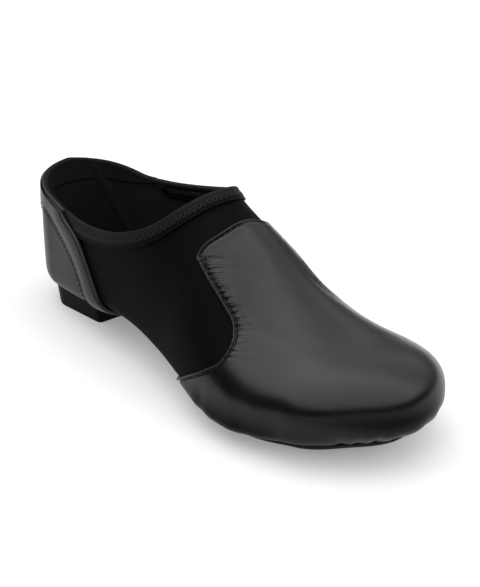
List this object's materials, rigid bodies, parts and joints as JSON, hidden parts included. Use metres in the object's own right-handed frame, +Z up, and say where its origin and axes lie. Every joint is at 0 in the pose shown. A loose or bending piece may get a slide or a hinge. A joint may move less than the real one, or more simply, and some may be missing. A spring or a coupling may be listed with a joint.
{
  "type": "jazz shoe",
  "caption": "Right slip-on jazz shoe: stretch bootie, soft leather vamp and heel counter, elastic collar, thin split sole and low rubber heel.",
  "frame": {"origin": "on the floor under the middle of the heel, on the flat underside of the heel block", "axes": "+X from heel to toe, +Y towards the big toe's side of this right shoe, +Z up"},
  "size_m": [0.2454, 0.0902, 0.0884],
  "materials": {
    "stretch_neoprene": "matte knit-faced neoprene",
    "vamp_leather": "soft smooth leather, low sheen",
    "counter_leather": "soft smooth leather, low sheen",
    "band_leather": "folded leather, low sheen",
    "elastic_tape": "matte woven elastic",
    "sole_rubber": "matte, finely grained",
    "heel_rubber": "matte",
    "insole_fabric": "brushed fabric lining",
    "stitch_thread": "twisted sewing thread"
  },
  "bodies": {
    "root": {"upper": "stretch_neoprene", "vamp": "vamp_leather", "heel_counter": "counter_leather", "counter_band": "band_leather", "collar_tape": "elastic_tape", "forefoot_sole": "sole_rubber", "heel_block": "heel_rubber", "insole": "insole_fabric"}
  },
  "joints": []
}
